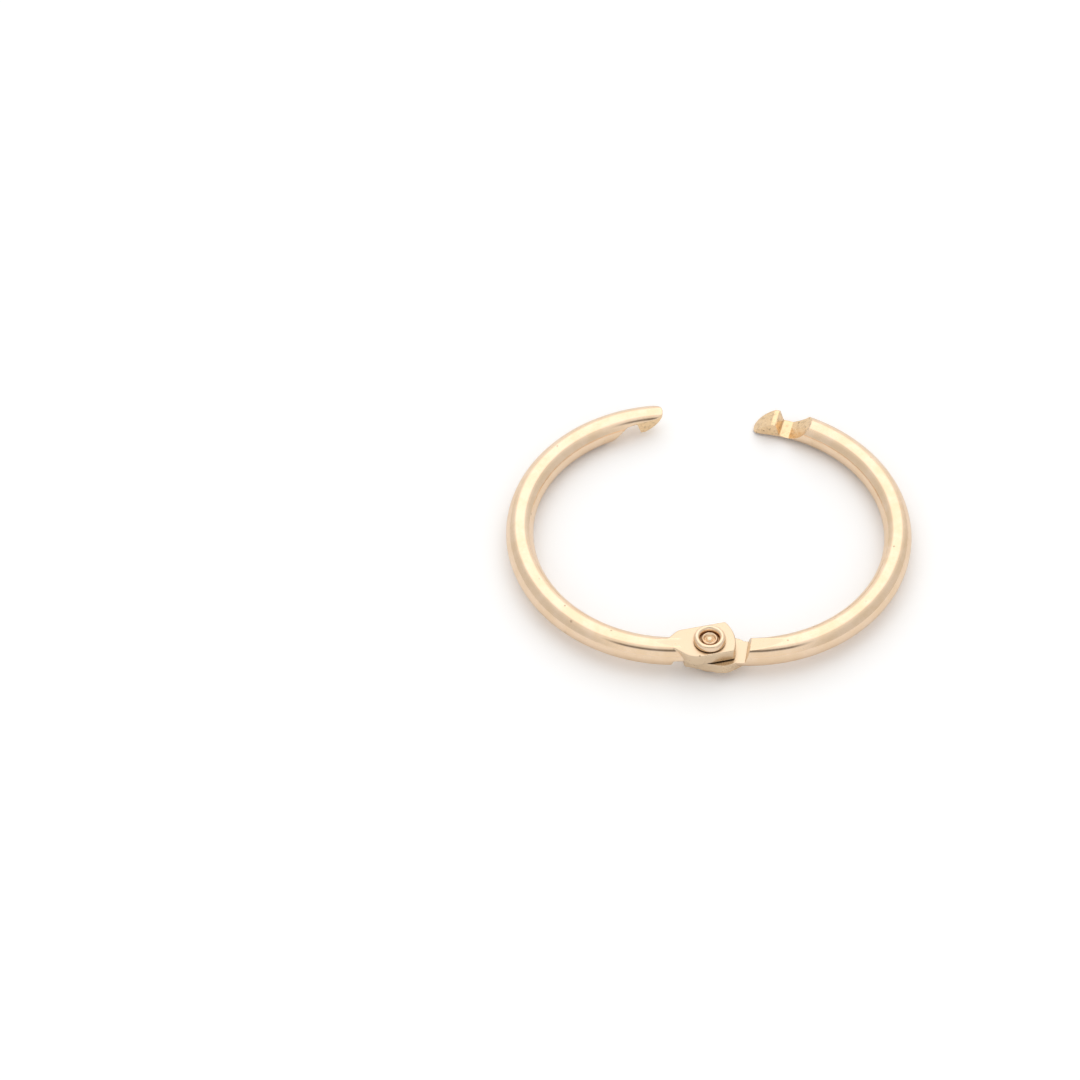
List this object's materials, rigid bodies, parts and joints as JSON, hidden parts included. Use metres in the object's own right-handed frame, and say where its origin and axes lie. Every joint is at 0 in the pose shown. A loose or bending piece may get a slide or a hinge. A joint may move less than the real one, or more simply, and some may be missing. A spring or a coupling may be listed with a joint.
{
  "type": "binder ring",
  "caption": "Hinged loose-leaf ring of plated wire that swings open on a rivet and snaps shut with interlocking hooked ends.",
  "frame": {"origin": "centre of the ring's eye in the middle plane of the wire, midway between the centres of the two half rings", "axes": "+Z along the rivet towards its rolled end, +Y from the rivet towards the catch, +X towards the right half"},
  "size_m": [0.0556, 0.0453, 0.0058],
  "materials": {
    "wire": "pale gold plating over steel wire, bright, with small pits and rubbed edges",
    "rivet": "pale gold plating over steel, bright on its lips and darker in its cup"
  },
  "bodies": {
    "right_half": {"right_half": "wire"},
    "rivet": {"rivet": "rivet"},
    "left_half": {"left_half": "wire"}
  },
  "joints": [
    {"name": "swing", "type": "hinge", "parent": "right_half", "child": "rivet", "pos_m": [0, -0.02044, 0], "axis": [0, 0, 1], "range_deg": [-27.6, 120]},
    {"name": "catch_lift", "type": "hinge", "parent": "rivet", "child": "left_half", "pos_m": [0, -0.02044, 0.00093], "axis": [0.9711, 0.2385, 0], "range_deg": [0, 3], "stiffness_Nm_per_rad": 0.05, "springref_deg": -11.46}
  ]
}
